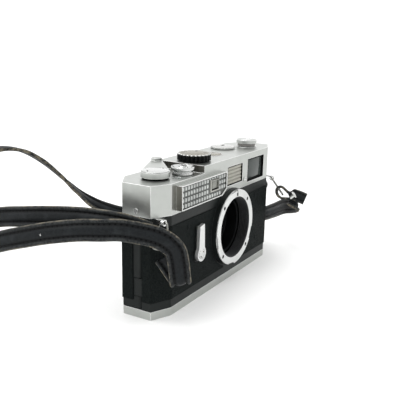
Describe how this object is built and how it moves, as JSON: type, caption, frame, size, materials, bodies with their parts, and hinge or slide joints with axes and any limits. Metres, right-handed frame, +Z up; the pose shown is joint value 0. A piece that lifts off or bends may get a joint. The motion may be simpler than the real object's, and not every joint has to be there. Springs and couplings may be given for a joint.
{
  "type": "rangefinder film camera body",
  "caption": "Rangefinder film camera body with a screw lens mount, light-cell window, top dials, hinged back and a leather neck strap on wire rings.",
  "frame": {"origin": "bottom centre of the camera body, on the surface that it stands on", "axes": "+X to the viewfinder and rewind end, -Y out of the lens mount, +Z up"},
  "size_m": [0.3163, 0.2471, 0.0813],
  "materials": {
    "satin_chrome": "satin",
    "bright_chrome": "polished",
    "black_paint": "semi-gloss",
    "dark_metal": "matt",
    "leathercloth": "pebbled",
    "strap_leather": "worn",
    "window_glass": "clear",
    "cell_lens": "clear lens sheet",
    "frosted_lens": "ribbed, frosted",
    "scale_cream": "matt",
    "steel": "brushed",
    "gunmetal": "anodised",
    "tie_band": "woven"
  },
  "bodies": {
    "body": {"body_casting": "black_paint", "base_plate": "satin_chrome", "tripod_bush": "steel", "top_cover": "satin_chrome", "cell_housing": "bright_chrome", "cell_grid": "cell_lens", "rangefinder_window": "window_glass", "finder_window": "window_glass", "frame_light_window": "frosted_lens", "finder_block": "window_glass", "eyepiece": "dark_metal", "lens_mount": "bright_chrome", "mount_screws": "bright_chrome", "throat_baffle": "dark_metal", "timer_base": "black_paint", "counter_window": "window_glass", "meter_scale": "scale_cream", "meter_window": "window_glass", "lug_left": "bright_chrome", "lug_right": "bright_chrome", "hinge_pin": "steel", "front_leather_left": "leathercloth", "front_leather_right": "leathercloth", "film_gate": "gunmetal", "shutter_curtain": "dark_metal", "sync_socket": "steel", "cover_screws": "satin_chrome", "strap_near": "strap_leather", "strap_tail": "strap_leather", "strap_far": "strap_leather", "strap_coil": "strap_leather", "strap_tie": "tie_band", "strap_tongue": "strap_leather", "strap_rivet": "bright_chrome"},
    "key": {"base_key": "satin_chrome"},
    "key_wing": {"base_key_wing": "satin_chrome"},
    "rf_follower": {"rf_arm": "steel"},
    "timer": {"timer_lever": "bright_chrome"},
    "winder": {"wind_lever": "satin_chrome", "wind_cap": "satin_chrome"},
    "counter": {"counter_disc": "dark_metal"},
    "collar": {"release_collar": "bright_chrome"},
    "release": {"release_button": "bright_chrome"},
    "speed": {"speed_dial": "black_paint"},
    "needle": {"meter_needle": "dark_metal"},
    "frame_selector": {"frame_dial": "satin_chrome"},
    "rewind_lift": {"rewind_sleeve": "satin_chrome"},
    "rewind": {"rewind_knob": "satin_chrome"},
    "crank": {"rewind_crank": "bright_chrome"},
    "ring_l": {"ring_left": "bright_chrome"},
    "ring_r": {"ring_right": "bright_chrome"},
    "door": {"back_door": "black_paint", "door_leather": "leathercloth", "plate_springs": "steel"},
    "film_presser": {"pressure_plate": "gunmetal"},
    "latch": {"door_latch": "steel"},
    "drum": {"curtain_drum": "gunmetal"},
    "spool": {"take_up_spool": "dark_metal"},
    "film_sprocket": {"sprocket": "steel"},
    "switch": {"meter_switch": "satin_chrome"}
  },
  "joints": [
    {"name": "key_turn", "type": "hinge", "parent": "body", "child": "key", "pos_m": [0.052, 0, 0.002], "axis": [0, 0, 1], "range_deg": [0, 180]},
    {"name": "key_wing_fold", "type": "hinge", "parent": "key", "child": "key_wing", "pos_m": [0.052, -0.0025, 0.0009], "axis": [1, 0, 0], "range_deg": [-88, 0]},
    {"name": "rf_follower_push", "type": "hinge", "parent": "body", "child": "rf_follower", "pos_m": [0.007, -0.0064, 0.0481], "axis": [1, 0, 0], "range_deg": [-8, 8], "stiffness_Nm_per_rad": 0.02},
    {"name": "timer_cock", "type": "hinge", "parent": "body", "child": "timer", "pos_m": [-0.032, -0.017, 0.0279], "axis": [0, -1, 0], "range_deg": [0, 170]},
    {"name": "wind_stroke", "type": "hinge", "parent": "body", "child": "winder", "pos_m": [-0.0525, -0.001, 0.074], "axis": [0, 0, 1], "range_deg": [0, 150], "stiffness_Nm_per_rad": 0.01},
    {"name": "counter_step", "type": "hinge", "parent": "body", "child": "counter", "pos_m": [-0.0445, -0.0068, 0.07], "axis": [0, 0, 1], "range_deg": [0, 9]},
    {"name": "collar_turn", "type": "hinge", "parent": "body", "child": "collar", "pos_m": [-0.035, -0.007, 0.074], "axis": [0, 0, 1], "range_deg": [0, 60]},
    {"name": "release_press", "type": "slide", "parent": "body", "child": "release", "axis": [0, 0, -1], "range_m": [0, 0.0016], "stiffness_N_per_m": 500},
    {"name": "speed_turn", "type": "hinge", "parent": "body", "child": "speed", "pos_m": [-0.015, -0.002, 0.078], "axis": [0, 0, 1], "range_deg": [-150, 150]},
    {"name": "needle_swing", "type": "hinge", "parent": "body", "child": "needle", "pos_m": [0.01, -0.0033, 0.075], "axis": [0, 0, 1], "range_deg": [-20, 20]},
    {"name": "frame_turn", "type": "hinge", "parent": "body", "child": "frame_selector", "pos_m": [0.0345, 0.006, 0.077], "axis": [0, 0, 1], "range_deg": [-90, 90]},
    {"name": "rewind_pull", "type": "slide", "parent": "body", "child": "rewind_lift", "axis": [0, 0, 1], "range_m": [0, 0.005]},
    {"name": "rewind_spin", "type": "hinge", "parent": "rewind_lift", "child": "rewind", "pos_m": [0.052, -0.0025, 0.078], "axis": [0, 0, 1], "continuous": true},
    {"name": "crank_fold", "type": "hinge", "parent": "rewind", "child": "crank", "pos_m": [0.0469, -0.0025, 0.0813], "axis": [0, -1, 0], "range_deg": [0, 170]},
    {"name": "ring_left_swing", "type": "hinge", "parent": "body", "child": "ring_l", "pos_m": [-0.0668, -0.016, 0.0539], "axis": [0, 1, 0], "range_deg": [-2, 4]},
    {"name": "ring_right_swing", "type": "hinge", "parent": "body", "child": "ring_r", "pos_m": [0.0668, -0.016, 0.0539], "axis": [0.9136, 0.3119, -0.2609], "range_deg": [-2, 4]},
    {"name": "door_swing", "type": "hinge", "parent": "body", "child": "door", "pos_m": [-0.0683, -0.0026, 0.028], "axis": [0, 0, 1], "range_deg": [0, 55]},
    {"name": "presser_float", "type": "slide", "parent": "door", "child": "film_presser", "axis": [0, 1, 0], "range_m": [0, 0.00012], "stiffness_N_per_m": 600},
    {"name": "latch_slide", "type": "slide", "parent": "body", "child": "latch", "axis": [0, 0, 1], "range_m": [0, 0.0035], "stiffness_N_per_m": 150},
    {"name": "drum_turn", "type": "hinge", "parent": "body", "child": "drum", "pos_m": [-0.024, -0.006, 0.032], "axis": [0, 0, 1], "range_deg": [0, 600]},
    {"name": "spool_turn", "type": "hinge", "parent": "body", "child": "spool", "pos_m": [-0.0485, -0.0012, 0.03], "axis": [0, 0, 1], "range_deg": [0, 480]},
    {"name": "sprocket_turn", "type": "hinge", "parent": "body", "child": "film_sprocket", "pos_m": [-0.025, 0.0042, 0.03], "axis": [0, 0, 1], "range_deg": [0, 360]},
    {"name": "switch_turn", "type": "hinge", "parent": "body", "child": "switch", "pos_m": [-0.002, 0.015, 0.066], "axis": [0, 1, 0], "range_deg": [-60, 60]}
  ],
  "couplings": [
    {"joint": "counter_step", "follows": "wind_stroke", "ratio": 0.06},
    {"joint": "spool_turn", "follows": "wind_stroke", "ratio": 3.2},
    {"joint": "sprocket_turn", "follows": "wind_stroke", "ratio": 2.4},
    {"joint": "drum_turn", "follows": "wind_stroke", "ratio": 4}
  ]
}
